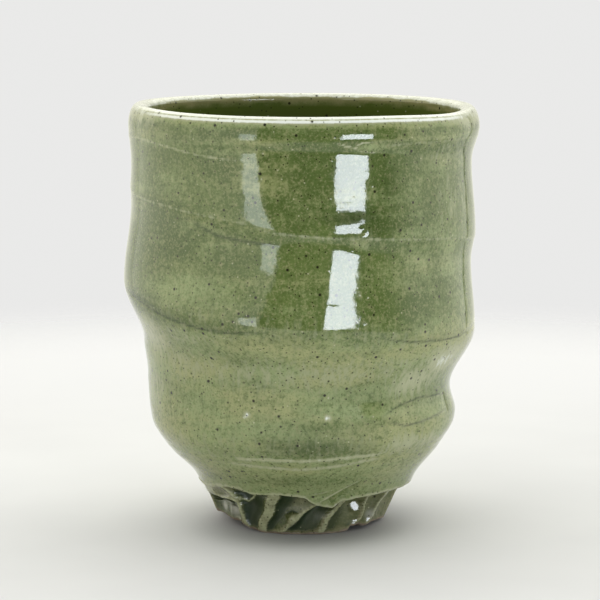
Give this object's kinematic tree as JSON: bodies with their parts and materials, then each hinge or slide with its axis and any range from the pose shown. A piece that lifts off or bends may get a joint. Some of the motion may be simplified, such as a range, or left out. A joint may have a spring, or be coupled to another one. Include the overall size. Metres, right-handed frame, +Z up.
{
  "type": "matcha cup",
  "caption": "Hand-thrown stoneware tea cup without a handle: tall wavy wall with a spiral throwing ridge, rounded lip, glossy green glaze and a gouged, fluted foot.",
  "frame": {"origin": "on the table, under the middle of the foot", "axes": "+Z up through the mouth; -Y is the side that the picture shows, with +X to its right"},
  "size_m": [0.0849, 0.0844, 0.1],
  "materials": {
    "stoneware": "unglazed buff stoneware with iron specks, under the glaze",
    "bare_foot": "bare toasted stoneware",
    "green_glaze": "glossy translucent green glaze, breaking cream at the lip, with iron specks",
    "liner_glaze": "glossy olive green glaze",
    "flute_glaze": "glossy green glaze pooled in the flutes, thin on the ridges"
  },
  "bodies": {
    "root": {"thrown_body": "stoneware", "carved_foot": "bare_foot", "outer_glaze": "green_glaze", "liner_glaze": "liner_glaze", "foot_glaze": "flute_glaze"}
  },
  "joints": []
}
